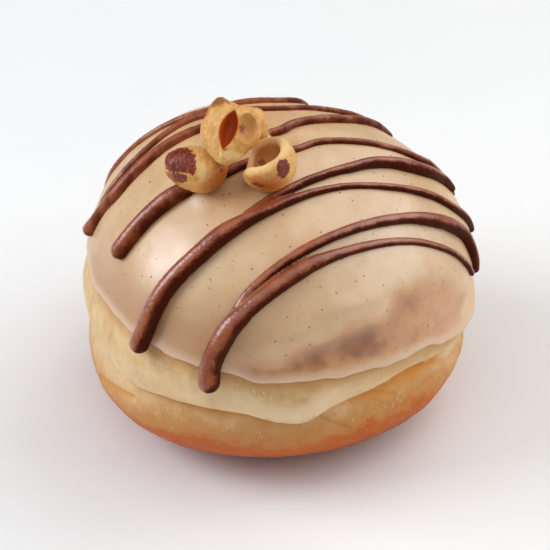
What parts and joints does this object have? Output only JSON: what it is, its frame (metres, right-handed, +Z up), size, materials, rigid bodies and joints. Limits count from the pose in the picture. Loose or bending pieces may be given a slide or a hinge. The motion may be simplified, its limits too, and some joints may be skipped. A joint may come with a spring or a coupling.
{
  "type": "filled doughnut",
  "caption": "Round filled doughnut: a browned bun with a crease and a pale band, a cap of nougat icing, chocolate drizzle, and hazelnut pieces on its crown.",
  "frame": {"origin": "middle of the flat underside that the doughnut rests on", "axes": "+Z up through the crown; -Y towards the side looked at as the front; +X to its right"},
  "size_m": [0.088, 0.0918, 0.0826],
  "materials": {
    "fried_dough": "soft matte crust, browned below and pale at the band",
    "nougat_icing": "smooth satin icing with a soft sheen",
    "milk_chocolate": "set milk chocolate with a soft sheen",
    "hazelnut": "roasted kernel, waxy, with scraps of brown skin"
  },
  "bodies": {
    "root": {"dough": "fried_dough", "icing": "nougat_icing", "nut_whole": "hazelnut", "nut_split": "hazelnut", "nut_back": "hazelnut", "nut_cup": "hazelnut"}
  },
  "joints": []
}
